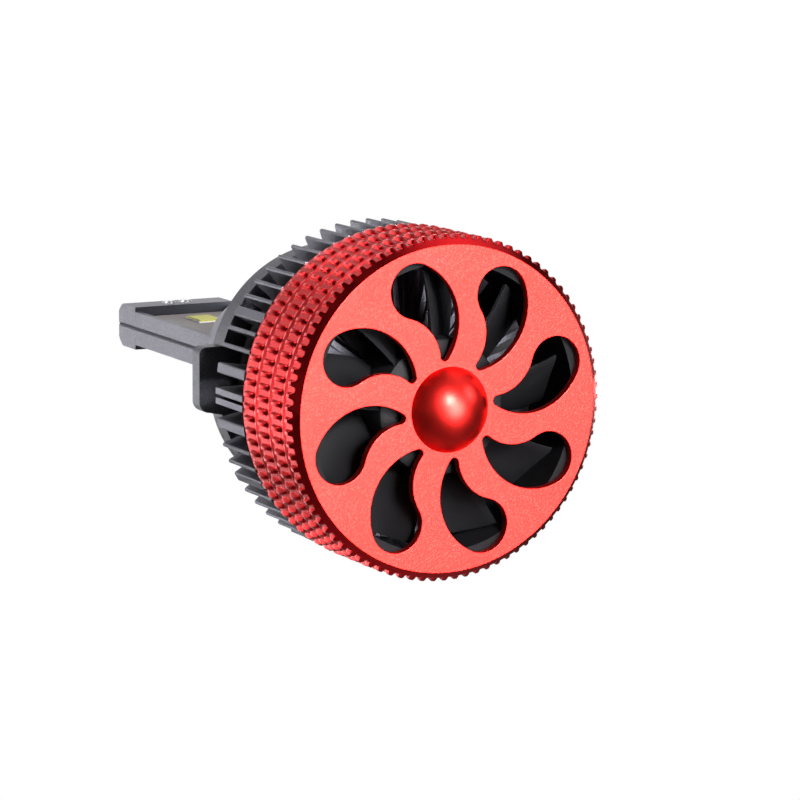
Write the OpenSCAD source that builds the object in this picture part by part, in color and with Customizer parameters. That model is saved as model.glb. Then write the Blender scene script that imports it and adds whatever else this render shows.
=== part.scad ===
// LED headlight bulb, lying with its axis along Y.
// The fan end points to -Y and the tip of the LED stem to +Y. +Z is up and square to the LED face.
// The origin is on the axis, in the plane of the collar face that seats in the lamp.
// All dimensions are in millimetres.

/* [Fan cap] */
// Diameter of the fan cap over the knurl
cap_d = 36; // [35:0.1:37]
// Length of the fan cap along the axis
cap_len = 12.2; // [12:0.05:12.6]
// Number of teeth round each knurl row
knurl_teeth = 88; // [60:1:110]
// Number of knurl rows
knurl_rows = 4; // [2:1:4]
// Length of one knurl row
row_len = 1.85; // [1.5:0.05:2.1]
// Distance from one knurl row to the next
row_pitch = 3.2; // [2.8:0.05:3.25]
// Number of swirl vents in the cap face
vent_count = 8; // [6:1:8]
// Turn of the first vent about the axis, degrees
vent_turn = 0.1; // [-10:0.1:10]

/* [Fan] */
// Number of fan blades
blade_count = 9; // [5:1:11]
// Tip radius of the fan blades
blade_r = 14.4; // [13.5:0.1:14.5]
// Tilt of the blades from the fan plane, degrees
blade_tilt = 42; // [30:1:46]
// Radius of the steel fan shaft
shaft_r = 0.75; // [0.6:0.05:0.9]

/* [Heat sink] */
// Radius to the fin tips
fin_r = 17.7; // [17:0.1:17.8]
// Angle between two plain fins, degrees
fin_step = 6; // [5:0.5:7]
// Thickness of a plain fin at its tip
fin_t = 0.45; // [0.3:0.05:0.6]
// Thickness of a wide fin at its tip
wide_fin_t = 1.1; // [0.8:0.05:1.3]
// Radius of the pilot that enters the lamp
pilot_r = 9.8; // [9:0.1:10]
// Length of the pilot ahead of the seat
pilot_len = 4.5; // [3:0.1:6]

/* [Stem] */
// Width of the flat LED stem
stem_w = 12.44; // [12:0.02:12.6]
// Thickness of the stem along the LED recess
stem_t = 3.9; // [3.8:0.1:4.4]
// Thickness of the block at the stem's tip
tip_t = 5; // [4.6:0.1:5.4]
// Distance from the seat to the stem's tip
tip_y = 43; // [42:0.1:46]
// Distance from the seat to the middle of the LED
led_y = 31.9; // [28:0.1:33]
// Length of the LED
led_len = 3.75; // [3:0.05:6]

/* [Collar] */
// Radius of the mounting collar
collar_r = 14.05; // [13.5:0.05:15]
// Thickness of the mounting collar
collar_t = 2.5; // [2:0.1:3]
// Width of the locating tab
tab_w = 7.1; // [6:0.1:8]
// Distance from the axis to the end of the tab
tab_x = 16.25; // [15:0.05:18]

/* [Hidden] */
$fn = 96;
eps = 0.5;

// Axial stations, as distances along Y from the seat
cap_y0 = -28.5;
cap_y1 = cap_y0 + cap_len;
face_t = 1;
fin_y1 = -9.8;
spigot_y0 = -18.6;
cone_y1 = 17.5;
tip_block_y0 = tip_y - 5.3;
recess_y0 = 18.5;

// Fan cap
cap_r = cap_d / 2;
face_r = cap_r - 1;
knurl_root_r = cap_r - 0.45;
knurl_tip_share = 0.34;
ridge_r = knurl_root_r + 0.1;
cap_bore_r = 16.2;
row_y0 = 0.25;
ridge_gap = 0.06;
ridge_rise = 0.5;
ridge_len = 0.95;
tooth_bury = 0.2;
dome_r = 4.45;
dome_h = 2.6;
dome_ball_r = (dome_r * dome_r + dome_h * dome_h) / (2 * dome_h);
dome_stud_r = 2;
dome_stud_clear = 0.02;

// Swirl vent: a round lobe, a convex flank, a concave flank and a rounded tip
lobe_c = [12.417, 3.944];
lobe_r = 2.834;
tip_c = [5.552, 0.558];
vent_tip_r = 0.485;
convex_c = [8.976, 5.535];
convex_r = 6.581;
concave_c = [5, 5.848];
concave_r = 4.838;
flank_end = [9.65, 4.9];

// Fan
rotor_y0 = cap_y0 + face_t + 0.7;
rotor_y1 = -20.8;
hub_r = 7.2;
hub_wall = 0.8;
magnet_r = 6.38;
magnet_bore_r = 5.6;
frame_r = cap_bore_r - 0.05;
frame_bore_r = 15;
base_y0 = -20.2;
base_y1 = -19.2;
tube_r = 2.6;
bearing_r = 1.9;
bearing_y0 = -25;
stator_r = 5.2;

// Heat sink
hub_core_r = 7;
pocket_r = 6.2;
pocket_y1 = -8;
neck_r = pilot_r + 0.2;
screw_groove_r = neck_r - 0.4;
screw_groove_w = 2;
nose_r = 2.75;
tip_corner_r = 1.2;
tip_corner_in = 1;
split_chamfer = 0.16;
fin_draft = 0.12;
tip_bevel = 0.12;
slit = 0.37;
pair_fin_t = 0.66;
wide_at = [9.6, 30];
thin_near = [17.6, 23.8];
grommet_y = -13.4;
grommet_r = 2.6;

// Stem
plate_t = 1;
plate_w = 7.2;
wall_t = 0.7;
floor_z = 1;
board_t = 0.4;
led_base_t = 0.15;
led_base_margin = 0.2;
led_t = 0.15;
led_w = 2.7;
rivet_r = 0.55;
rivet_head_r = 0.8;
rivet_head_h = 0.25;
rivet_x = 1.05;
rivet_y = tip_y - 3.3;
screw_x = 5.2;
screw_y = 9.3;
screw_seat_z = 3.4;
screw_r = 0.95;
screw_head_r = 1.75;

// Collar
collar_clear = 0.05;
tab_t = 1.77;
tab_z = 0.35;
tab_corner = 1.2;
tab_top_corner = 0.8;
tab_flare = 0.9;
grub_r = 0.8;

cap_red = [0.86, 0.14, 0.14];
sink_grey = [0.25, 0.25, 0.28];
fan_black = [0.06, 0.06, 0.07];
steel = [0.75, 0.76, 0.78];
copper = [0.8, 0.45, 0.25];
board_green = [0.1, 0.35, 0.2];

// A flat outline in X and Z, carried along Y from y0 to y1
module slab(y0, y1) rotate([90, 0, 0]) translate([0, 0, -y1]) linear_extrude(y1 - y0) children();

// A round bar along Y, or a cone when its far radius differs
module rod(y0, y1, r, far_r = -1)
    rotate([90, 0, 0]) translate([0, 0, -y1])
        cylinder(h = y1 - y0, r1 = far_r < 0 ? r : far_r, r2 = r);

// A tube along Y
module tube(y0, y1, r, bore)
    difference() {
        rod(y0, y1, r);
        rod(y0 - eps, y1 + eps, bore);
    }

// A block between two corners
module block(low, high) translate(low) cube(high - low);

function polar(r, a) = [r * cos(a), r * sin(a)];

// ---- Fan cap ----

module knurl_outline() {
    pitch = 360 / knurl_teeth;
    polygon([for (i = [0 : knurl_teeth - 1]) let (a = i * pitch)
        each [polar(knurl_root_r - tooth_bury, a - pitch / 2), polar(cap_r, a - pitch * knurl_tip_share / 2),
            polar(cap_r, a + pitch * knurl_tip_share / 2)]]);
}

module vent_outline() {
    translate(lobe_c) circle(lobe_r);
    translate(tip_c) circle(vent_tip_r);
    difference() {
        intersection() {
            translate(convex_c) circle(convex_r);
            polygon([tip_c, [5, -3], [17, -3], [17, 3.5], lobe_c, flank_end]);
        }
        translate(concave_c) circle(concave_r);
    }
}

// Turned body under the knurl: a chamfered face, the tooth roots and the low ridges between rows
module cap_turned_body() {
    ridges = [for (k = [0 : knurl_rows - 2]) let (y = row_y0 + row_len + k * row_pitch + ridge_gap)
        each [[knurl_root_r, -cap_y0 - y], [ridge_r, -cap_y0 - y - ridge_rise],
            [knurl_root_r, -cap_y0 - y - ridge_len]]];
    rotate([90, 0, 0]) rotate_extrude()
        polygon(concat([[0, -cap_y0], [face_r, -cap_y0], [knurl_root_r, ridge_gap - cap_y0 - row_y0]],
            ridges, [[knurl_root_r, -cap_y1], [0, -cap_y1]]));
}

module fan_cap() {
    color(cap_red) difference() {
        union() {
            cap_turned_body();
            for (k = [0 : knurl_rows - 1])
                let (y = cap_y0 + row_y0 + k * row_pitch) slab(y, y + row_len) knurl_outline();
        }
        rod(cap_y0 + face_t, cap_y1 + eps, cap_bore_r);
        rod(cap_y0 - eps, cap_y0 + face_t + eps, dome_stud_r + dome_stud_clear);
        for (i = [0 : vent_count - 1])
            rotate([0, -vent_turn - i * 360 / vent_count, 0])
                slab(cap_y0 - eps, cap_y0 + face_t + eps) vent_outline();
    }
}

module cap_dome() {
    color(cap_red) {
        intersection() {
            translate([0, cap_y0 - dome_h + dome_ball_r, 0]) sphere(dome_ball_r);
            rod(cap_y0 - dome_h - eps, cap_y0, dome_r + eps);
        }
        rod(cap_y0 - 0.2, cap_y0 + face_t, dome_stud_r);
    }
}

// ---- Fan ----

module fan_frame() {
    color(fan_black) difference() {
        union() {
            tube(cap_y0 + face_t, spigot_y0, frame_r, frame_bore_r);
            rod(base_y0, base_y1, hub_r);
            rod(bearing_y0, base_y1, tube_r);
            for (a = [45 : 90 : 315])
                rotate([0, a, 0]) block([hub_r - 1, base_y0, -0.8], [frame_bore_r + 0.4, base_y1, 0.8]);
        }
        rod(bearing_y0 - eps, base_y0 + 0.3, bearing_r);
        rod(base_y0, base_y1 + eps, 1.6);
    }
}

module fan_bearing() {
    color([0.78, 0.6, 0.3]) tube(bearing_y0, base_y0 + 0.2, bearing_r, shaft_r + 0.02);
}

module stator_core() {
    color([0.45, 0.46, 0.48]) difference() {
        union() {
            rod(-24, -22.6, 3.4);
            for (a = [0, 90]) rotate([0, a, 0]) block([-4.4, -24, -0.6], [4.4, -22.6, 0.6]);
            for (a = [0 : 90 : 270])
                rotate([0, a, 0]) intersection() {
                    tube(-24, -22.6, stator_r, 4.4);
                    block([3, -25, -2.6], [6, -22, 2.6]);
                }
        }
        rod(-25, -22, tube_r);
    }
}

// One winding round one stator arm
module stator_coil(i) {
    color(copper) rotate([0, 90 * i, 0]) difference() {
        block([3.45, -24.6, -1.2], [4.15, -22, 1.2]);
        block([3.4, -24.05, -0.65], [4.4, -22.55, 0.65]);
    }
}

module fan_board() {
    color(board_green) tube(-21.2, base_y0, 5.4, tube_r);
}

module blade() {
    intersection() {
        tube(rotor_y0, rotor_y1, blade_r, hub_r - 0.3);
        translate([hub_r - 0.5, (rotor_y0 + rotor_y1) / 2, 0]) rotate([blade_tilt, 0, 0])
            block([0, -0.35, -3.4], [8.5, 0.35, 3.4]);
    }
}

module fan_rotor() {
    color(fan_black) {
        difference() {
            rod(rotor_y0, rotor_y1, hub_r);
            rod(rotor_y0 + hub_wall, rotor_y1 + eps, hub_r - hub_wall);
            rod(rotor_y0 + 0.3, rotor_y1, shaft_r);
        }
        for (i = [0 : blade_count - 1]) rotate([0, i * 360 / blade_count, 0]) blade();
    }
}

module rotor_magnet() {
    color([0.3, 0.3, 0.32]) tube(rotor_y0 + hub_wall, rotor_y1 - 0.2, magnet_r, magnet_bore_r);
}

module rotor_shaft() {
    color(steel) rod(rotor_y0 + 0.3, base_y1 - 0.1, shaft_r);
}

module shaft_clip() {
    color(steel) tube(base_y1 - 0.5, base_y1 - 0.2, 1.3, shaft_r);
}

// ---- Heat sink ----

// One fin, a little thicker at its root, with its tip corners cut
module fin(a, t) {
    half_tip = t / 2;
    half_root = half_tip + fin_draft;
    rotate(a) polygon([[hub_core_r - 1, -half_root], [fin_r - tip_bevel, -half_tip],
        [fin_r, tip_bevel - half_tip], [fin_r, half_tip - tip_bevel],
        [fin_r - tip_bevel, half_tip], [hub_core_r - 1, half_root]]);
}

module fin_outline() {
    intersection() {
        union() {
            circle(hub_core_r);
            for (m = [0, 1]) mirror([m, 0]) {
                for (a = wide_at) fin(a, wide_fin_t);
                for (a = thin_near) fin(a, fin_t);
                for (a = [90 - fin_step : -fin_step : 35]) fin(a, fin_t);
            }
            fin(90, fin_t);
        }
        translate([-20, 0]) square([40, 20]);
    }
    for (m = [0, 1]) mirror([m, 0]) translate([6, slit / 2]) square([fin_r - 6, pair_fin_t]);
}

// Rounded end of the stem, above the split
module tip_nose() {
    corner_x = stem_w / 2 - tip_corner_in;
    intersection() {
        union() {
            block([-stem_w / 2, tip_y - 2.6, 0], [stem_w / 2, tip_y - 1, tip_t / 2]);
            block([-corner_x, tip_y - 1.5, 0], [corner_x, tip_y + 1, tip_t / 2]);
            for (s = [-1, 1])
                translate([s * corner_x, tip_y + 0.1 - tip_corner_r, 0])
                    cylinder(h = tip_t / 2, r = tip_corner_r);
        }
        translate([-10, tip_y - nose_r, 0]) rotate([0, 90, 0]) cylinder(h = 20, r = nose_r);
        block([-stem_w / 2, 0, 0], [stem_w / 2, tip_y + 1, tip_t]);
    }
}

// Upper half of the casting. The lower half is the same piece turned half a turn and mirrored.
module sink_half() {
    difference() {
        union() {
            slab(cap_y1, fin_y1) fin_outline();
            slab(spigot_y0, cap_y1) intersection() {
                fin_outline();
                circle(cap_bore_r - 0.05);
            }
            intersection() {
                union() {
                    rod(fin_y1, 0, neck_r);
                    rod(fin_y1, pilot_len, pilot_r);
                    rod(pilot_len, cone_y1, pilot_r - 0.1, stem_w / 2);
                }
                block([-20, fin_y1 - 1, 0], [20, cone_y1 + 1, 20]);
            }
            block([-stem_w / 2, cone_y1 - 1, 0], [stem_w / 2, tip_block_y0 + 1, stem_t / 2]);
            block([-stem_w / 2, tip_block_y0, 0], [stem_w / 2, tip_y - 2.5, tip_t / 2]);
            tip_nose();
        }
        // Pocket for the driver, and the slot for the core plate
        rod(spigot_y0 - eps, pocket_y1, pocket_r);
        block([-plate_w / 2, pocket_y1 - eps, -1], [plate_w / 2, tip_block_y0 + 0.5, plate_t / 2]);
        // LED recess
        block([-stem_w / 2 + wall_t, recess_y0, floor_z], [stem_w / 2 - wall_t, tip_block_y0, 6]);
        // Screw holes
        for (s = [-1, 1]) translate([s * screw_x, screw_y, -1]) {
            cylinder(h = 12, r = screw_r + 0.05);
            translate([0, 0, screw_seat_z + 1]) cylinder(h = 12, r = screw_head_r + 0.1);
        }
        for (s = [-1, 1]) translate([s * rivet_x, rivet_y, -1]) cylinder(h = 5, r = rivet_r);
        // Groove that the collar screw's point rides in
        tube(-collar_t / 2 - screw_groove_w / 2, screw_groove_w / 2 - collar_t / 2, neck_r + 1, screw_groove_r);
        // Chamfer along the split line of the stem
        for (s = [-1, 1]) translate([s * stem_w / 2, 0, 0]) rotate([0, 45, 0])
            block([-split_chamfer, cone_y1 - 2, -split_chamfer], [split_chamfer, tip_y + 1, split_chamfer]);
        // Cable outlet
        translate([0, grommet_y, 0]) rotate([0, 90, 0]) cylinder(h = 25, r = grommet_r + 0.02);
    }
}

module heat_sink_upper() color(sink_grey) sink_half();
module heat_sink_lower() color(sink_grey) mirror([0, 0, 1]) sink_half();

module core_plate() {
    color(copper) block([-plate_w / 2 + 0.05, pocket_y1, -plate_t / 2],
        [plate_w / 2 - 0.05, tip_block_y0 + 0.4, plate_t / 2]);
}

// ---- LED stem ----

module led_board() {
    color([0.62, 0.58, 0.55]) block([-stem_w / 2 + wall_t + 0.1, recess_y0 + 1, floor_z],
        [stem_w / 2 - wall_t - 0.1, tip_block_y0 - 0.3, floor_z + board_t]);
}

module led_base() {
    z = floor_z + board_t;
    half_w = led_w / 2 + led_base_margin;
    half_len = led_len / 2 + led_base_margin;
    color([0.9, 0.9, 0.86]) block([-half_w, led_y - half_len, z], [half_w, led_y + half_len, z + led_base_t]);
}

module led() {
    z = floor_z + board_t + led_base_t;
    color([0.85, 0.83, 0.2]) block([-led_w / 2, led_y - led_len / 2, z],
        [led_w / 2, led_y + led_len / 2, z + led_t]);
}

module tip_rivet(s) {
    color(steel) translate([s * rivet_x, rivet_y, 0]) {
        cylinder(h = tip_t, r = rivet_r, center = true);
        for (m = [0, 1]) mirror([0, 0, m]) translate([0, 0, tip_t / 2])
            cylinder(h = rivet_head_h, r1 = rivet_head_r, r2 = rivet_r);
    }
}

module half_screw(s) {
    color(steel) translate([s * screw_x, screw_y, 0]) {
        translate([0, 0, -screw_seat_z]) cylinder(h = 2 * screw_seat_z, r = screw_r);
        difference() {
            translate([0, 0, screw_seat_z]) cylinder(h = 1.3, r = screw_head_r);
            translate([0, 0, screw_seat_z + 0.5]) cylinder(h = 1, r = 0.85, $fn = 6);
        }
    }
}

// ---- Driver ----

module driver_board() color(board_green) rod(-16.6, -15.8, pocket_r - 0.1);
module driver_capacitor() color([0.1, 0.1, 0.12]) translate([-2.9, 0, 2.6]) rod(-15.8, -10.3, 1.7);
module driver_inductor() {
    color([0.2, 0.2, 0.22]) translate([2.6, 0, 2.6]) {
        rod(-15.8, -15, 1.9);
        rod(-15, -12.8, 1.3);
        rod(-12.8, -12, 1.9);
    }
}
module driver_chip() color([0.08, 0.08, 0.09]) block([-2.2, -15.8, -3.4], [2.2, -14.6, -1.4]);

module cable_grommet() {
    color([0.05, 0.05, 0.05]) translate([0, grommet_y, 0]) rotate([0, 90, 0]) difference() {
        union() {
            translate([0, 0, 6.6]) cylinder(h = fin_r - 6.6, r = grommet_r);
            translate([0, 0, fin_r]) cylinder(h = 1.2, r = grommet_r + 0.5);
        }
        translate([0, 0, 6]) cylinder(h = 20, r = 1.6);
    }
}

// ---- Collar ----

module seal_ring() {
    color([0.04, 0.04, 0.04]) rotate([90, 0, 0]) rotate_extrude()
        translate([neck_r + 1.2, 4.3]) circle(1.18, $fn = 32);
}

module tab_outline() {
    top = tab_z + tab_w / 2;
    foot = tab_z - tab_w / 2;
    polygon([[-tab_x + tab_corner, foot], [-tab_x, foot + tab_corner], [-tab_x, top - tab_top_corner],
        [-tab_x + tab_top_corner, top], [-11, top], [-11, foot - tab_flare]]);
    translate([tab_corner - tab_x, foot + tab_corner]) circle(tab_corner);
    translate([tab_top_corner - tab_x, top - tab_top_corner]) circle(tab_top_corner);
}

module mounting_collar() {
    color(sink_grey) difference() {
        union() {
            rod(-collar_t, 0, collar_r);
            slab(-collar_t, -collar_t + tab_t) tab_outline();
        }
        rod(-collar_t - eps, eps, neck_r + collar_clear);
        translate([0, -collar_t / 2, 0]) rotate([0, 90, 0]) cylinder(h = 20, r = grub_r);
    }
}

module collar_screw() {
    color(steel) translate([0, -collar_t / 2, 0]) rotate([0, 90, 0]) difference() {
        union() {
            translate([0, 0, screw_groove_r + 0.15]) cylinder(h = 4.1, r = grub_r - 0.25);
            translate([0, 0, neck_r + 0.3]) cylinder(h = 3.4, r = grub_r);
        }
        translate([0, 0, neck_r + 2.6]) cylinder(h = 2, r = 0.4, $fn = 6);
    }
}

fan_cap();
cap_dome();
fan_frame();
fan_bearing();
stator_core();
stator_coil(0);  // stator_coil_1
stator_coil(1);  // stator_coil_2
stator_coil(2);  // stator_coil_3
stator_coil(3);  // stator_coil_4
fan_board();
fan_rotor();
rotor_magnet();
rotor_shaft();
shaft_clip();
heat_sink_upper();
heat_sink_lower();
core_plate();
led_board();  // led_board_upper
mirror([0, 0, 1]) led_board();  // led_board_lower
led_base();  // led_base_upper
mirror([0, 0, 1]) led_base();  // led_base_lower
led();  // led_upper
mirror([0, 0, 1]) led();  // led_lower
driver_board();
driver_capacitor();
driver_inductor();
driver_chip();
half_screw(-1);  // half_screw_left
half_screw(1);  // half_screw_right
tip_rivet(-1);  // tip_rivet_left
tip_rivet(1);  // tip_rivet_right
cable_grommet();
seal_ring();
mounting_collar();
collar_screw();
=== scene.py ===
"""Looks of the LED headlight bulb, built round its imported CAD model.

The bulb's axis is Y, with the fan cap at -Y and the tip of the LED stem at +Y. +Z is up.
Shapes are worked out in millimetres and made in metres.
"""

import math

import bmesh
import bpy
from mathutils import Matrix, Vector


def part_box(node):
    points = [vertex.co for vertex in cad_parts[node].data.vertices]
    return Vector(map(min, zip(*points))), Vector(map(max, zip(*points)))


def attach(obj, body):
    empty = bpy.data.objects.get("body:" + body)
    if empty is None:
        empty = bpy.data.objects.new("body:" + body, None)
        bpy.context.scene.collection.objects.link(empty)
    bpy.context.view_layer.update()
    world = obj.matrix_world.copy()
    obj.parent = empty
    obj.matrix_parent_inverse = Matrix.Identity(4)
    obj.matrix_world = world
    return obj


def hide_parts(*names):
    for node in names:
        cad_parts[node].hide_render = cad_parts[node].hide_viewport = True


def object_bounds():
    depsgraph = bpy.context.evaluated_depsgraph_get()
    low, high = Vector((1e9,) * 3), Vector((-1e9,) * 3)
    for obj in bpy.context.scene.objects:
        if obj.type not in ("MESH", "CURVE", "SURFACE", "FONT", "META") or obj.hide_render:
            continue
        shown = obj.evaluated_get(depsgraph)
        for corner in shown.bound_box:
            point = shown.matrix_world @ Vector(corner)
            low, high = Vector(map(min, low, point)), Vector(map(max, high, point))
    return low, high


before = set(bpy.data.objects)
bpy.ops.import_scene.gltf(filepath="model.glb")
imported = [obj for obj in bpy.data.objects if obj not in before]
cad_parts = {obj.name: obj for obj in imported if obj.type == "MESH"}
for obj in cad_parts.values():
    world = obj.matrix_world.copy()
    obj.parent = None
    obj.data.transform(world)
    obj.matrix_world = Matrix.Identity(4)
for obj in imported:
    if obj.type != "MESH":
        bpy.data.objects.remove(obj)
cad_low, cad_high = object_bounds()

MM = 0.001


def size_of(node):
    """Lowest and highest corner of a CAD node, in millimetres."""
    low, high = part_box(node)
    return low / MM, high / MM


# ---------------------------------------------------------------- Main sizes, in millimetres

CHAMFER_DEPTH = 1.0
CAP_WALL = 1.8
FACE_T = 1.0

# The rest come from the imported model.
cap_low, cap_high = size_of("fan_cap")
CAP_Y0, CAP_Y1 = cap_low.y, cap_high.y
CAP_R = cap_high.z
FACE_R = CAP_R - CHAMFER_DEPTH
CAP_BORE_R = CAP_R - CAP_WALL

dome_low, dome_high = size_of("cap_dome")
DOME_R = dome_high.z
DOME_H = CAP_Y0 - dome_low.y

rotor_low, rotor_high = size_of("fan_rotor")
ROTOR_Y0, ROTOR_Y1 = rotor_low.y, rotor_high.y
BLADE_R = rotor_high.x


# ---------------------------------------------------------------- Mesh helpers

# Two faces look smooth where they meet if the angle between them is less than this, in degrees.
SMOOTH_BELOW = 32.0


def polar(radius, degrees):
    """A point in the XZ plane, turned from +X towards +Z."""
    a = math.radians(degrees)
    return radius * math.cos(a), radius * math.sin(a)


def finish_mesh(name, mesh, smooth_below=SMOOTH_BELOW, flat_ends=False):
    """Makes an object of a mesh, smooth where two faces meet at less than the given angle.

    With flat_ends, faces square to Y keep their own normals.
    """
    bm = bmesh.new()
    bm.from_mesh(mesh)
    bmesh.ops.recalc_face_normals(bm, faces=bm.faces)
    limit = math.radians(smooth_below)
    for face in bm.faces:
        face.smooth = True
    for edge in bm.edges:
        edge.smooth = edge.is_manifold and edge.calc_face_angle(0.0) < limit
        if flat_ends and len({abs(face.normal.y) > 0.9999 for face in edge.link_faces}) > 1:
            edge.smooth = False
    bm.to_mesh(mesh)
    bm.free()
    obj = bpy.data.objects.new(name, mesh)
    bpy.context.scene.collection.objects.link(obj)
    return obj


def mesh_from(name, points, faces, smooth_below=SMOOTH_BELOW):
    """An object from points in millimetres."""
    mesh = bpy.data.meshes.new(name)
    mesh.from_pydata([tuple(c * MM for c in p) for p in points], [], faces)
    return finish_mesh(name, mesh, smooth_below)


def lathe(name, profile, steps, closed=False):
    """Turns (radius, y) points about the Y axis. A radius of 0 closes the end in one point.

    A closed profile also joins its last point to its first.
    """
    points, rings = [], []
    for radius, y in profile:
        if radius == 0:
            rings.append([len(points)] * steps)
            points.append((0.0, y, 0.0))
            continue
        rings.append(list(range(len(points), len(points) + steps)))
        for i in range(steps):
            x, z = polar(radius, 360 * i / steps)
            points.append((x, y, z))
    faces = []
    following = rings[1:] + rings[:1] if closed else rings[1:]
    for low, high in zip(rings, following):
        for i in range(steps):
            j = (i + 1) % steps
            face = []
            for v in (low[i], low[j], high[j], high[i]):
                if v not in face:
                    face.append(v)
            if len(face) > 2:
                faces.append(face)
    return mesh_from(name, points, faces)


def plate(name, outlines, y0, y1, edge):
    """A flat plate across Y with rounded edges. The first outline is its rim and the rest are its holes."""
    curve = bpy.data.curves.new(name, "CURVE")
    curve.dimensions = "2D"
    curve.fill_mode = "BOTH"
    curve.extrude = ((y1 - y0) / 2 - edge) * MM
    curve.bevel_depth = edge * MM
    curve.bevel_resolution = 2
    curve.offset = -edge * MM
    for outline in outlines:
        spline = curve.splines.new("POLY")
        spline.points.add(len(outline) - 1)
        for point, (x, z) in zip(spline.points, outline):
            point.co = (x * MM, z * MM, 0, 1)
        spline.use_cyclic_u = True
    helper = bpy.data.objects.new(name + "_outline", curve)
    bpy.context.scene.collection.objects.link(helper)
    bpy.context.view_layer.update()
    evaluated = helper.evaluated_get(bpy.context.evaluated_depsgraph_get())
    mesh = bpy.data.meshes.new_from_object(evaluated)
    bpy.data.objects.remove(helper)
    upright = Matrix.Rotation(math.pi / 2, 4, "X")
    mesh.transform(Matrix.Translation((0, (y0 + y1) / 2 * MM, 0)) @ upright)
    bm = bmesh.new()
    bm.from_mesh(mesh)
    bmesh.ops.remove_doubles(bm, verts=bm.verts, dist=1e-6)
    bm.to_mesh(mesh)
    bm.free()
    return finish_mesh(name, mesh, flat_ends=True)


def join(name, objects):
    """One object that holds the meshes of several."""
    bm = bmesh.new()
    for obj in objects:
        bm.from_mesh(obj.data)
    mesh = bpy.data.meshes.new(name)
    bm.to_mesh(mesh)
    bm.free()
    for obj in objects:
        bpy.data.objects.remove(obj)
    made = bpy.data.objects.new(name, mesh)
    bpy.context.scene.collection.objects.link(made)
    return made


def arc(centre, radius, start, end, step):
    """Points along an arc in the XZ plane, from one angle to the other in steps of about so many degrees."""
    count = max(2, int(abs(end - start) / step) + 1)
    points = []
    for i in range(count + 1):
        x, z = polar(radius, start + (end - start) * i / count)
        points.append((centre[0] + x, centre[1] + z))
    return points


def circle(radius, step):
    """Points of a circle round the Y axis."""
    return arc((0, 0), radius, 0, 360, step)[:-1]


def turned(outline, degrees):
    """An outline turned about the Y axis, from +X towards +Z."""
    c, s = math.cos(math.radians(degrees)), math.sin(math.radians(degrees))
    return [(x * c - z * s, x * s + z * c) for x, z in outline]


# ---------------------------------------------------------------- Materials


class Nodes:
    """A small helper for writing shader nodes."""

    def __init__(self, tree):
        self.tree = tree

    def add(self, kind, **settings):
        node = self.tree.nodes.new(kind)
        for key, value in settings.items():
            setattr(node, key, value)
        return node

    def link(self, source, target):
        self.tree.links.new(source, target)

    def ramp(self, source, low, high, out_low, out_high):
        """Takes a value from one span to another in proportion, and holds it inside the second."""
        node = self.add("ShaderNodeMapRange")
        node.inputs["From Min"].default_value = low
        node.inputs["From Max"].default_value = high
        node.inputs["To Min"].default_value = out_low
        node.inputs["To Max"].default_value = out_high
        self.link(source, node.inputs["Value"])
        return node.outputs["Result"]

    def mix(self, factor, a, b):
        """Colour a where the factor is 0 and colour b where it is 1."""
        node = self.add("ShaderNodeMix", data_type="RGBA")
        self.link(factor, node.inputs["Factor"])
        for value, socket in ((a, node.inputs[6]), (b, node.inputs[7])):
            if isinstance(value, tuple):
                socket.default_value = (*value, 1.0)
            else:
                self.link(value, socket)
        return node.outputs[2]

    def math(self, operation, *values):
        node = self.add("ShaderNodeMath", operation=operation)
        for value, socket in zip(values, node.inputs):
            if isinstance(value, (int, float)):
                socket.default_value = value
            else:
                self.link(value, socket)
        return node.outputs[0]

    def camera_ray(self):
        """1 for what the camera sees directly and 0 for light and reflections."""
        return self.add("ShaderNodeLightPath").outputs["Is Camera Ray"]


class MaterialNodes(Nodes):
    """The nodes of a new material, with the textures that its looks are made of."""

    def __init__(self, name):
        self.material = bpy.data.materials.new(name)
        self.material.use_nodes = True
        super().__init__(self.material.node_tree)
        self.shader = self.tree.nodes["Principled BSDF"]
        self.place = self.add("ShaderNodeTexCoord").outputs["Object"]

    def noise(self, grain_mm, detail=3.0):
        """Noise whose lumps are about grain_mm across."""
        mapping = self.add("ShaderNodeMapping")
        mapping.inputs["Scale"].default_value = [1 / (grain_mm * MM)] * 3
        self.link(self.place, mapping.inputs["Vector"])
        node = self.add("ShaderNodeTexNoise")
        node.inputs["Scale"].default_value = 1.0
        node.inputs["Detail"].default_value = detail
        node.inputs["Roughness"].default_value = 0.55
        self.link(mapping.outputs["Vector"], node.inputs["Vector"])
        return node.outputs["Fac"]

    def bump(self, height, strength, depth_mm, below=None):
        """A normal roughened by a height, over the normal of the rounded edges if that is given."""
        node = self.add("ShaderNodeBump")
        node.inputs["Strength"].default_value = strength
        node.inputs["Distance"].default_value = depth_mm * MM
        self.link(height, node.inputs["Height"])
        if below is not None:
            self.link(below, node.inputs["Normal"])
        return node.outputs["Normal"]

    def rounding(self, radius_mm):
        """The normal that rounded edges would have."""
        bevel = self.add("ShaderNodeBevel", samples=4)
        bevel.inputs["Radius"].default_value = radius_mm * MM
        return bevel.outputs["Normal"]

    def edge_mask(self, radius_mm, sharpness):
        """1 along sharp edges and 0 on flat surfaces."""
        normal = self.add("ShaderNodeNewGeometry").outputs["Normal"]
        dot = self.add("ShaderNodeVectorMath", operation="DOT_PRODUCT")
        self.link(self.rounding(radius_mm), dot.inputs[0])
        self.link(normal, dot.inputs[1])
        return self.ramp(dot.outputs["Value"], 1.0, 1.0 - sharpness, 0.0, 1.0)

    def surface(self, grain, strength, bump_mm, round_mm):
        """Gives the shader a grain, over edges that look rounded by a radius unless it is 0."""
        below = self.rounding(round_mm) if round_mm else None
        self.link(self.bump(grain, strength, bump_mm, below), self.shader.inputs["Normal"])


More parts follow.
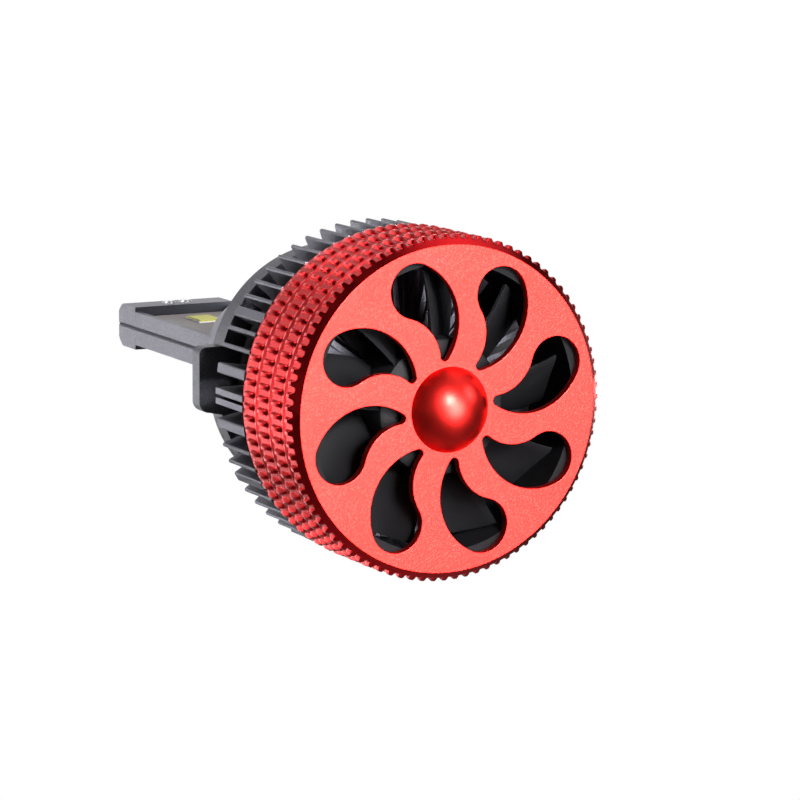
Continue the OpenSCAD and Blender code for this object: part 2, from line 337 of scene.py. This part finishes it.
# Sizes of the lumps in the noise, in millimetres, and how far edges wear.
METAL_PATCH = 6.0
PLASTIC_PATCH = 4.0
WEAR_PATCH = 0.8
WEAR_WIDTH = 0.12
WEAR_SHARPNESS = 0.5
GRAIN_STRENGTH = 0.5


def mottled(n, patches, colour, spread):
    """A colour that is darker by up to the spread where the patches are low."""
    dark = tuple(c * (1 - spread) for c in colour)
    return n.mix(n.ramp(patches, 0.35, 0.65, 0.0, 1.0), dark, colour)


def metal(name, colour, worn, rough, grain_mm, bump_mm, spread, round_mm=0.0, specks=0.35, add_painted_shade=None):
    """Anodised, cast or plated metal: mottled colour, worn edges, uneven gloss and a fine grain."""
    n = MaterialNodes(name)
    n.shader.inputs["Metallic"].default_value = 1.0
    patches = n.noise(METAL_PATCH, detail=4.0)
    grain = n.noise(grain_mm, detail=2.0)
    tone = mottled(n, patches, colour, spread)
    speck = n.mix(n.ramp(grain, 0.5, 0.7, 0.0, specks), tone, worn)
    wear = n.edge_mask(WEAR_WIDTH, WEAR_SHARPNESS)
    broken = n.math("MULTIPLY", wear, n.ramp(n.noise(WEAR_PATCH), 0.4, 0.7, 0.1, 0.7))
    n.link(n.mix(broken, speck, worn), n.shader.inputs["Base Color"])
    n.link(n.ramp(patches, 0.3, 0.7, rough - 0.05, rough + 0.07), n.shader.inputs["Roughness"])
    n.surface(grain, GRAIN_STRENGTH, bump_mm, round_mm)
    # Painted shade, laid over the colour by the given function.
    if add_painted_shade:
        add_painted_shade(n)
    return n.material


def plastic(name, colour, rough, grain_mm, bump_mm, spread=0.2, specular=0.5, round_mm=0.0):
    """Moulded plastic, rubber or solder mask with a fine texture."""
    n = MaterialNodes(name)
    n.shader.inputs["Specular IOR Level"].default_value = specular
    patches = n.noise(PLASTIC_PATCH)
    grain = n.noise(grain_mm, detail=2.0)
    n.link(mottled(n, patches, colour, spread), n.shader.inputs["Base Color"])
    n.link(n.ramp(grain, 0.3, 0.7, rough - 0.06, rough + 0.08), n.shader.inputs["Roughness"])
    n.surface(grain, GRAIN_STRENGTH, bump_mm, round_mm)
    return n.material


# Painted shade: the colour laid over the LED recess and the tip block's face, where the heat sink keeps the
# light off.
RECESS_PAINTED_SHADE = (0.018, 0.018, 0.022)

# How far the painted shade of the milled recess reaches past an LED board at its sides, towards the collar
# and towards the tip, and where the painted shade on the face of the tip block starts past the board, in
# metres.
RECESS_WALL = 0.12 * MM
RECESS_COLLAR_GAP = 1.02 * MM
RECESS_TIP_GAP = 0.32 * MM
BLOCK_FACE_START = 0.28 * MM

# A limit in metres that is well outside the bulb.
FAR = 1


def inside_box(n, low, high):
    """1 inside a box given in metres, and in its mirror images across X = 0 and Z = 0, and 0 elsewhere."""
    split = n.add("ShaderNodeSeparateXYZ")
    n.link(n.place, split.inputs[0])
    inside = None
    for axis, least, most in zip("XYZ", low, high):
        value = split.outputs[axis]
        if axis != "Y":
            value = n.math("ABSOLUTE", value)
        for test in (n.math("GREATER_THAN", value, least), n.math("LESS_THAN", value, most)):
            inside = test if inside is None else n.math("MULTIPLY", inside, test)
    return inside


def paint_recess_shade(n):
    """Painted shade on the milled recess round the LED boards and on the face of the tip block, where the
    heat sink keeps the light off.
    """
    low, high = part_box("led_board_upper")
    side, bottom, tip = high.x + RECESS_WALL, low.z - RECESS_WALL, high.y + RECESS_TIP_GAP
    recess = inside_box(n, (-FAR, low.y - RECESS_COLLAR_GAP, bottom), (side, tip, FAR))
    block_face = inside_box(n, (-FAR, high.y + BLOCK_FACE_START, bottom), (FAR, tip, FAR))
    # Painted shade mask: the recess round the boards and the tip block's face.
    dark = n.math("MAXIMUM", recess, block_face)
    colour = n.shader.inputs["Base Color"].links[0].from_socket
    n.link(n.mix(dark, colour, RECESS_PAINTED_SHADE), n.shader.inputs["Base Color"])


RED = (0.80, 0.022, 0.018)
DEEP_RED = (0.72, 0.015, 0.02)
RED_WORN = (0.9, 0.09, 0.08)

# The four reds of the cap: its flat face, its knurl, its chamfer and its dome.
cap_red = metal("anodised_red", RED, RED_WORN, 0.4, grain_mm=0.17, bump_mm=0.03, spread=0.05, specks=0.25)
knurl_red = metal("knurled_red", DEEP_RED, RED_WORN, 0.26, grain_mm=0.2, bump_mm=0.003, spread=0.08)
edge_red = metal("polished_red", DEEP_RED, RED, 0.16, grain_mm=0.2, bump_mm=0.001, spread=0.05)
dome_red = metal("dome_red", RED, RED_WORN, 0.31, grain_mm=0.15, bump_mm=0.004, spread=0.05, specks=0.15)

# The heat sink's grey has painted shade in the LED recesses and on the tip block's face.
sink_grey = metal("cast_grey", (0.19, 0.185, 0.22), (0.46, 0.45, 0.5), 0.42, grain_mm=0.14, bump_mm=0.02,
                  spread=0.25, round_mm=0.06, add_painted_shade=paint_recess_shade)
collar_grey = metal("collar_grey", (0.14, 0.14, 0.16), (0.42, 0.42, 0.45), 0.4, grain_mm=0.12,
                    bump_mm=0.012, spread=0.2)
steel = metal("plated_steel", (0.62, 0.62, 0.64), (0.8, 0.8, 0.82), 0.25, grain_mm=0.2, bump_mm=0.004,
              spread=0.1, round_mm=0.04)
bronze = metal("sintered_bronze", (0.52, 0.34, 0.16), (0.7, 0.5, 0.28), 0.45, grain_mm=0.15,
               bump_mm=0.01, spread=0.2)
magnet_grey = metal("magnet_iron", (0.12, 0.12, 0.13), (0.3, 0.3, 0.3), 0.5, grain_mm=0.2, bump_mm=0.01,
                    spread=0.2)
copper = metal("copper", (0.75, 0.32, 0.18), (0.9, 0.5, 0.35), 0.3, grain_mm=0.3, bump_mm=0.005,
               spread=0.15)

fan_black = plastic("fan_black", (0.007, 0.007, 0.008), 0.5, grain_mm=0.12, bump_mm=0.012,
                    specular=0.08, round_mm=0.05)
frame_black = plastic("frame_black", (0.008, 0.008, 0.009), 0.6, grain_mm=0.16, bump_mm=0.03,
                      specular=0.04)
mask_green = plastic("board_green", (0.015, 0.11, 0.05), 0.35, grain_mm=0.3, bump_mm=0.004)
mask_tan = plastic("board_tan", (0.25, 0.22, 0.22), 0.5, grain_mm=0.25, bump_mm=0.005)
ceramic = plastic("ceramic_white", (0.75, 0.75, 0.7), 0.5, grain_mm=0.2, bump_mm=0.004, spread=0.08)
rubber = plastic("seal_rubber", (0.012, 0.012, 0.013), 0.62, grain_mm=0.2, bump_mm=0.012, specular=0.35)
black_part = plastic("part_black", (0.02, 0.02, 0.022), 0.45, grain_mm=0.2, bump_mm=0.008)


def phosphor_yellow():
    """Cloudy yellow silicone with uneven gloss, as it lies over the chips."""
    n = MaterialNodes("phosphor_yellow")
    n.shader.inputs["Subsurface Weight"].default_value = 0.15
    n.shader.inputs["Subsurface Radius"].default_value = (0.0006, 0.0005, 0.0002)
    patches = n.noise(0.8)
    colour = n.mix(n.ramp(patches, 0.3, 0.7, 0.0, 1.0), (0.42, 0.4, 0.03), (0.5, 0.48, 0.05))
    n.link(colour, n.shader.inputs["Base Color"])
    n.link(n.ramp(patches, 0.3, 0.7, 0.32, 0.45), n.shader.inputs["Roughness"])
    n.surface(n.noise(0.25), strength=0.4, bump_mm=0.01, round_mm=0.0)
    return n.material


phosphor = phosphor_yellow()


def paint(obj, material):
    obj.data.materials.clear()
    obj.data.materials.append(material)


def add_piece(obj, body, material, slot, *nodes):
    """Dresses a piece, puts it on its body and hides the CAD nodes that it stands for."""
    paint(obj, material)
    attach(obj, body)
    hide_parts(*nodes)


# ---------------------------------------------------------------- Fan cap

KNURL_TEETH = 88
KNURL_ROWS = 4
ROW_PITCH = 3.2
ROW_LENGTH = 2.1
TOOTH_HEIGHT = 0.42
TOOTH_HALF_TIP = 0.19
TOOTH_WALL = 0.17
KNURL_STEP = 0.13

# The low ridge between two rows, as distances past the end of a row's teeth.
RIDGE_HEIGHT = 0.1
RIDGE_PEAK = 0.58
RIDGE_HALF_TOP = 0.06
RIDGE_END = 1.0

# Where the chamfer starts and ends and where the bore starts, as distances from the cap's face.
CHAMFER_START = 0.03
CHAMFER_END = 0.92
BORE_START = 0.2

# The face's rim laps the chamfer, and what lies further out than the second radius is the side.
FACE_RIM_R = FACE_R + 0.03
SIDE_FROM_R = FACE_R + 0.02

# How far a chamfer's normal points to the front at least, and how far round the axis at most.
CHAMFER_FORWARD = 0.3
CHAMFER_AROUND = 0.35

# Slots of the cap's material, in the order in which make_cap adds them.
KNURL_SLOT, CHAMFER_SLOT = 1, 2

# The swirl vents: the middle and radius of the outer lobe and the inner tip, and the flanks' radii.
VENT_COUNT = 8
VENT_TURN = 0.1
VENT_LOBE, VENT_LOBE_R = Vector((12.42, 3.94)), 2.83
VENT_TIP, VENT_TIP_R = Vector((5.55, 0.56)), 0.485
VENT_BULGE_R = 6.58
VENT_HOLLOW_R = 4.84
VENT_EDGE = 0.09


def chamfer_radius(distance):
    """Radius of the chamfer at a distance from the cap's face."""
    return FACE_R + (distance - CHAMFER_START) / (CHAMFER_END - CHAMFER_START) * (CAP_R - FACE_R)


def cap_envelope():
    """Turned outline of the cap's side under the knurl teeth, as (distance from the face, radius)."""
    level = CAP_R - TOOTH_HEIGHT
    ridge = level + RIDGE_HEIGHT
    shoulder = ridge - 0.01
    chamfer_y = CHAMFER_START + (level - FACE_R) / (CAP_R - FACE_R) * (CHAMFER_END - CHAMFER_START)
    outline = [(CHAMFER_START, FACE_R), (chamfer_y, level)]
    for row in range(KNURL_ROWS - 1):
        end = ROW_LENGTH + row * ROW_PITCH
        peak = end + RIDGE_PEAK
        outline += [(end, level), (peak - RIDGE_HALF_TOP, shoulder), (peak, ridge)]
        outline += [(peak + RIDGE_HALF_TOP, shoulder), (end + RIDGE_END, level)]
    length = CAP_Y1 - CAP_Y0
    rounded_rim = [(length - 0.4, level), (length - 0.15, level - 0.08), (length, level - 0.2)]
    return outline + rounded_rim


def tooth_radius(distance, offset):
    """Radius of the knurl teeth at a distance from the face and an offset from a tooth's middle line.

    Each tooth is a short rib whose back is an arc that runs out at both ends. The chamfer cuts the
    first row.
    """
    row = min(KNURL_ROWS - 1, max(0, int(distance / ROW_PITCH)))
    along = (distance - row * ROW_PITCH) / (ROW_LENGTH / 2) - 1
    height = TOOTH_HEIGHT * max(0.0, 1 - along * along) ** 0.5
    height -= max(0.0, abs(offset) - TOOTH_HALF_TIP) * TOOTH_HEIGHT / TOOTH_WALL
    return min(chamfer_radius(distance), CAP_R - TOOTH_HEIGHT + max(0.0, height))


def make_cap_side():
    """The turned outline with its knurl teeth, all round, and the cap's bore."""
    outline = cap_envelope()
    stations = []
    for (y0, r0), (y1, r1) in zip(outline, outline[1:]):
        parts = max(1, round((y1 - y0) / KNURL_STEP))
        for i in range(parts):
            t = i / parts
            stations.append((y0 + (y1 - y0) * t, r0 + (r1 - r0) * t))
    stations.append(outline[-1])
    # A tooth has points along its middle line and down both flanks, and one halfway to the next tooth.
    pitch = 2 * math.pi * CAP_R / KNURL_TEETH
    flank = [TOOTH_HALF_TIP * 0.85, TOOTH_HALF_TIP + TOOTH_WALL * 0.2, TOOTH_HALF_TIP + TOOTH_WALL]
    offsets = [-offset for offset in reversed(flank)] + [0] + flank + [pitch / 2]
    columns = [(tooth, offset) for tooth in range(KNURL_TEETH) for offset in offsets]
    turns = [(tooth + offset / pitch) * 360 / KNURL_TEETH for tooth, offset in columns]
    steps = len(turns)
    points, faces = [], []
    for distance, envelope in stations:
        for turn, (_, offset) in zip(turns, columns):
            x, z = polar(max(envelope, tooth_radius(distance, offset)), turn)
            points.append((x, CAP_Y0 + distance, z))
    for y in (CAP_Y1, CAP_Y0 + BORE_START):
        for turn in turns:
            x, z = polar(CAP_BORE_R, turn)
            points.append((x, y, z))
    rings = len(stations) + 2
    for ring in range(rings - 1):
        for i in range(steps):
            j = (i + 1) % steps
            a, b = ring * steps, (ring + 1) * steps
            faces.append((a + i, a + j, b + j, b + i))
    return mesh_from("cap_side", points, faces, smooth_below=40.0)


def is_chamfer(polygon):
    """Whether a face of the mesh slopes towards the cap's face and isn't the flank of a tooth."""
    outward = Vector((polygon.center.x, 0, polygon.center.z)).normalized()
    around = outward.cross(Vector((0, 1, 0)))
    return polygon.normal.y < -CHAMFER_FORWARD and abs(polygon.normal.dot(around)) < CHAMFER_AROUND


def meeting_point(a, b, reach_a, reach_b):
    """The point at the given distances from two others, to the left of the line from a to b."""
    gap = (b - a).length
    along = (gap * gap + reach_a * reach_a - reach_b * reach_b) / (2 * gap)
    across = math.sqrt(reach_a * reach_a - along * along)
    forward = (b - a) / gap
    return a + forward * along + Vector((-forward.y, forward.x)) * across


def angle_of(start, end):
    """Direction from one point to another, in degrees."""
    return math.degrees(math.atan2(end[1] - start[1], end[0] - start[0]))


def vent_outline():
    """A swirl vent of four arcs that touch: a bulging flank, a lobe, a hollow flank and a small tip."""
    ends = VENT_TIP, VENT_LOBE
    bulge = meeting_point(*ends, VENT_BULGE_R - VENT_TIP_R, VENT_BULGE_R - VENT_LOBE_R)
    hollow = meeting_point(*ends, VENT_HOLLOW_R + VENT_TIP_R, VENT_HOLLOW_R + VENT_LOBE_R)
    bulge_start, bulge_end = angle_of(bulge, VENT_TIP), angle_of(bulge, VENT_LOBE)
    hollow_start, hollow_end = angle_of(hollow, VENT_LOBE), angle_of(hollow, VENT_TIP)
    points = arc(bulge, VENT_BULGE_R, bulge_start, bulge_end, 3)[:-1]
    points += arc(VENT_LOBE, VENT_LOBE_R, bulge_end, hollow_start + 180, 6)[:-1]
    points += arc(hollow, VENT_HOLLOW_R, hollow_start, hollow_end, 3)[:-1]
    points += arc(VENT_TIP, VENT_TIP_R, hollow_end + 180, bulge_start + 360, 12)[:-1]
    return points


def make_cap():
    """The knurled side and the vented face, in one piece with three reds."""
    side = make_cap_side()
    holes = [turned(vent_outline(), VENT_TURN + i * 360 / VENT_COUNT) for i in range(VENT_COUNT)]
    rim = circle(FACE_RIM_R, 1.0)
    face = plate("cap_face", [rim] + holes, CAP_Y0, CAP_Y0 + FACE_T, VENT_EDGE)
    cap = join("fan_cap_shell", [side, face])
    add_piece(cap, "bulb", cap_red, "cap_red", "fan_cap")
    cap.data.materials.append(knurl_red)
    cap.data.materials.append(edge_red)
    for polygon in cap.data.polygons:
        middle = polygon.center / MM
        if math.hypot(middle.x, middle.z) > SIDE_FROM_R:
            on_chamfer = middle.y < CAP_Y0 + CHAMFER_END and is_chamfer(polygon)
            polygon.material_index = CHAMFER_SLOT if on_chamfer else KNURL_SLOT


DOME_STUD_R = 2.0


def make_dome():
    """A shallow dome of one ball, with a stud through the cap's face."""
    ball_r = (DOME_R**2 + DOME_H**2) / (2 * DOME_H)
    centre_y = CAP_Y0 - DOME_H + ball_r
    half = math.degrees(math.asin(DOME_R / ball_r))
    steps = 28
    profile = [(0, centre_y - ball_r)]
    for i in range(1, steps + 1):
        a = math.radians(half * i / steps)
        profile.append((ball_r * math.sin(a), centre_y - ball_r * math.cos(a)))
    profile += [(DOME_R - 0.02, CAP_Y0 + 0.05), (DOME_STUD_R, CAP_Y0 + 0.06)]
    profile += [(DOME_STUD_R, CAP_Y0 + FACE_T), (0, CAP_Y0 + FACE_T)]
    dome = lathe("dome_button", profile, 128)
    add_piece(dome, "bulb", dome_red, "cap_red", "cap_dome")


make_cap()
make_dome()


# ---------------------------------------------------------------- Fan

BLADE_COUNT = 9
HUB_R = 7.2
HUB_WALL = 0.8
HUB_ROUND = 0.7
SHAFT_R = 0.75
# The dimple round the shaft in the hub's end.
DIMPLE_R = 1.3
DIMPLE_DEPTH = 0.25
DIMPLE_SLOPE = 0.2

# A blade's pitch in degrees and its chord, at the root and what they gain by the tip.
PITCH_ROOT, PITCH_GAIN = 46, -8
CHORD_ROOT, CHORD_GAIN = 6.6, 0.5
# How far it leans round by the tip, in degrees, and how deep its root sits in the hub.
BLADE_LEAN = 7
ROOT_BURY = 0.4
# Half its thickness at its edges and what that gains in the middle, its curve, and its shift to the front.
BLADE_EDGE_HALF_T = 0.05
BLADE_SWELL = 0.36
BLADE_CAMBER = 0.55
BLADE_SHIFT = 0.3
# Gap that keeps the blades' corners inside the rotor's length.
BLADE_END_GAP = 0.02
STEPS_ACROSS, STEPS_OUT = 14, 10


def blade_point(turn, out, across, side):
    """A point of a blade: out goes from 0 at the root to 1 at the tip, and across from -1 to 1.

    The side is 1 for the sheet that faces the heat sink and -1 for the one that faces the cap.
    """
    root = HUB_R - ROOT_BURY
    radius = root + (BLADE_R - root) * out
    pitch = math.radians(PITCH_ROOT + PITCH_GAIN * out)
    along = across * (CHORD_ROOT + CHORD_GAIN * out) / 2
    thick = BLADE_SWELL * math.sqrt(max(0.0, 1 - across**4)) + BLADE_EDGE_HALF_T
    lift = BLADE_CAMBER * (1 - across * across) + side * thick
    tangent = along * math.cos(pitch) + lift * math.sin(pitch)
    y = (ROTOR_Y0 + ROTOR_Y1) / 2 - along * math.sin(pitch) + lift * math.cos(pitch) - BLADE_SHIFT
    y = min(max(y, ROTOR_Y0 + BLADE_END_GAP), ROTOR_Y1 - BLADE_END_GAP)
    x, z = polar(radius, turn + math.degrees(tangent / radius) + BLADE_LEAN * out)
    return x, y, z


def blade_mesh(name, turn):
    """One curved blade, thick in the middle and thin at its edges, twisted from root to tip."""
    points, faces = [], []
    for side in (1, -1):
        for j in range(STEPS_OUT + 1):
            for i in range(STEPS_ACROSS + 1):
                points.append(blade_point(turn, j / STEPS_OUT, 2 * i / STEPS_ACROSS - 1, side))
    row = STEPS_ACROSS + 1
    sheet = row * (STEPS_OUT + 1)
    for j in range(STEPS_OUT):
        for i in range(STEPS_ACROSS):
            a = j * row + i
            faces.append((a, a + 1, a + row + 1, a + row))
            faces.append((sheet + a, sheet + a + row, sheet + a + row + 1, sheet + a + 1))
    border = list(range(STEPS_ACROSS))
    border += [j * row + STEPS_ACROSS for j in range(STEPS_OUT)]
    border += [STEPS_OUT * row + i for i in range(STEPS_ACROSS, 0, -1)]
    border += [j * row for j in range(STEPS_OUT, 0, -1)]
    for a, b in zip(border, border[1:] + border[:1]):
        faces.append((a, sheet + a, sheet + b, b))
    return mesh_from(name, points, faces, smooth_below=50.0)


def make_rotor():
    """A cup-shaped hub, open towards the heat sink, with its ring of blades."""
    inner = HUB_R - HUB_WALL
    rounded_end = [
        (SHAFT_R, ROTOR_Y0 + DIMPLE_DEPTH), (DIMPLE_R, ROTOR_Y0 + DIMPLE_DEPTH),
        (DIMPLE_R + DIMPLE_SLOPE, ROTOR_Y0), (HUB_R - HUB_ROUND, ROTOR_Y0),
        (HUB_R - 0.2, ROTOR_Y0 + 0.2), (HUB_R, ROTOR_Y0 + HUB_ROUND)]
    cup = [
        (HUB_R, ROTOR_Y1), (inner, ROTOR_Y1), (inner, ROTOR_Y0 + HUB_WALL),
        (SHAFT_R, ROTOR_Y0 + HUB_WALL)]
    hub = lathe("hub", rounded_end + cup, 96, closed=True)
    blades = [blade_mesh("blade", i * 360 / BLADE_COUNT) for i in range(BLADE_COUNT)]
    rotor = join("fan_blades", [hub] + blades)
    add_piece(rotor, "rotor", fan_black, "fan_plastic", "fan_rotor")


make_rotor()


# ---------------------------------------------------------------- CAD nodes that keep their shape

CAD_LOOKS = {
    "fan_frame": frame_black,
    "fan_bearing": bronze,
    "stator_core": magnet_grey,
    "fan_board": mask_green,
    "rotor_magnet": magnet_grey,
    "rotor_shaft": steel,
    "shaft_clip": steel,
    "heat_sink_upper": sink_grey,
    "heat_sink_lower": sink_grey,
    "core_plate": copper,
    "led_board_upper": mask_tan,
    "led_board_lower": mask_tan,
    "led_base_upper": ceramic,
    "led_base_lower": ceramic,
    "led_upper": phosphor,
    "led_lower": phosphor,
    "driver_board": mask_green,
    "driver_capacitor": black_part,
    "driver_inductor": black_part,
    "driver_chip": black_part,
    "half_screw_left": steel,
    "half_screw_right": steel,
    "tip_rivet_left": steel,
    "tip_rivet_right": steel,
    "cable_grommet": rubber,
    "seal_ring": rubber,
    "mounting_collar": collar_grey,
    "collar_screw": steel,
}
CAD_LOOKS.update({f"stator_coil_{i + 1}": copper for i in range(4)})
for node, material in CAD_LOOKS.items():
    paint(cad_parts[node], material)


# ---------------------------------------------------------------- Floor, lights and camera

# Everything from here on is in metres.
FLOOR_DROP = 0.35
FLOOR_Z = cad_low.z - FLOOR_DROP
FLOOR_LOW, FLOOR_HIGH = (-3, -2), (4, 3.3)
FLOOR_GREY = (0.45, 0.45, 0.45)

# Strength of the backdrop, and of the studio at the front and behind. Above the bulb the studio's
# strength falls to a share of that. The spans are where a direction's Y and Z pass from one to the other.
BACKDROP = 1.1
STUDIO_FRONT, STUDIO_BEHIND = 0.15, 1.7
STUDIO_LEVEL, STUDIO_ABOVE = 1.0, 0.3
SPAN_Y = (0.3, 0.85)
SPAN_Z = (0.08, 0.4)


def make_floor():
    """A pale floor well under the bulb, which the camera sees as evenly white."""
    (x0, y0), (x1, y1) = FLOOR_LOW, FLOOR_HIGH
    mesh = bpy.data.meshes.new("floor")
    corners = [(x0, y0), (x1, y0), (x1, y1), (x0, y1)]
    mesh.from_pydata([(x, y, FLOOR_Z) for x, y in corners], [], [(0, 1, 2, 3)])
    floor = bpy.data.objects.new("floor", mesh)
    bpy.context.scene.collection.objects.link(floor)
    material = bpy.data.materials.new("floor_white")
    material.use_nodes = True
    n = Nodes(material.node_tree)
    shader = n.tree.nodes["Principled BSDF"]
    shader.inputs["Base Color"].default_value = (*FLOOR_GREY, 1)
    shader.inputs["Roughness"].default_value = 0.9
    seen = n.add("ShaderNodeMixShader")
    n.link(n.camera_ray(), seen.inputs[0])
    n.link(shader.outputs[0], seen.inputs[1])
    n.link(n.add("ShaderNodeEmission").outputs[0], seen.inputs[2])
    n.link(seen.outputs[0], n.tree.nodes["Material Output"].inputs["Surface"])
    mesh.materials.append(material)


def make_world():
    """A white backdrop for the camera, and a studio that is dark in front and above in reflections."""
    world = bpy.data.worlds.new("studio")
    bpy.context.scene.world = world
    world.use_nodes = True
    n = Nodes(world.node_tree)
    direction = n.add("ShaderNodeSeparateXYZ")
    n.link(n.add("ShaderNodeTexCoord").outputs["Generated"], direction.inputs[0])
    behind = n.ramp(direction.outputs["Y"], *SPAN_Y, STUDIO_FRONT, STUDIO_BEHIND)
    above = n.ramp(direction.outputs["Z"], *SPAN_Z, STUDIO_LEVEL, STUDIO_ABOVE)
    strength = n.add("ShaderNodeMix")
    n.link(n.camera_ray(), strength.inputs["Factor"])
    n.link(n.math("MULTIPLY", behind, above), strength.inputs["A"])
    strength.inputs["B"].default_value = BACKDROP
    background = n.tree.nodes["Background"]
    background.inputs["Color"].default_value = (1, 1, 1, 1)
    n.link(strength.outputs["Result"], background.inputs["Strength"])


def area_light(name, place, target, size, power, spread):
    """A rectangle of light that faces its target, with its size in metres and its power in watts."""
    data = bpy.data.lights.new(name, "AREA")
    data.shape = "RECTANGLE"
    data.size, data.size_y = size
    data.energy = power
    data.spread = math.radians(spread)
    light = bpy.data.objects.new(name, data)
    light.location = place
    light.rotation_mode = "QUATERNION"
    light.rotation_quaternion = (Vector(target) - Vector(place)).to_track_quat("-Z", "Y")
    bpy.context.scene.collection.objects.link(light)


def make_lights():
    """A wide soft light in front, four weaker ones and a very wide one over the floor behind the bulb.

    Of the four, the first is high in front and gives the dome its highlight, the second is above and
    behind and lights the stem, the third is overhead and the fourth fills the right side.
    """
    middle = (0, -0.01, 0)
    above_floor, floor_below = (0.4, 2.2, 1.0), (0.4, 2.2, FLOOR_Z)
    area_light("front_light", (0.15, -0.62, 0.02), middle, (0.62, 0.5), 2.3, spread=50)
    area_light("upper_light", (0.01, -0.56, 0.22), middle, (0.12, 0.12), 0.8, spread=60)
    area_light("top_light", (-0.1, 0.2, 0.45), middle, (0.3, 0.3), 0.12, spread=60)
    area_light("rim_light", (0.3, -0.1, 0.5), middle, (0.6, 0.6), 0.14, spread=60)
    area_light("right_fill", (0.5, -0.32, 0.24), middle, (0.25, 0.25), 0.16, spread=60)
    area_light("floor_light", above_floor, floor_below, (5.4, 2.7), 200.0, spread=30)


CAMERA_PLACE = Vector((-0.17713, -0.35792, 0.06322))
CAMERA_FORWARD = Vector((0.45528, 0.87509, -0.16414))
CAMERA_UP = Vector((0.07127, 0.14794, 0.98642))
LENS_MM = 167.18
SENSOR_MM = 36.0


def make_camera():
    """The camera stands in front of the fan cap, to its left and a little above it."""
    forward = CAMERA_FORWARD.normalized()
    right = forward.cross(CAMERA_UP).normalized()
    up = right.cross(forward)
    data = bpy.data.cameras.new("camera")
    data.sensor_width = SENSOR_MM
    data.lens = LENS_MM
    data.clip_start, data.clip_end = 0.01, 20.0
    camera = bpy.data.objects.new("camera", data)
    turn = Matrix((right, up, -forward)).transposed()
    camera.matrix_world = Matrix.Translation(CAMERA_PLACE) @ turn.to_4x4()
    bpy.context.scene.collection.objects.link(camera)
    bpy.context.scene.camera = camera


make_floor()
make_world()
make_lights()
make_camera()
bpy.context.scene.view_settings.view_transform = "Standard"
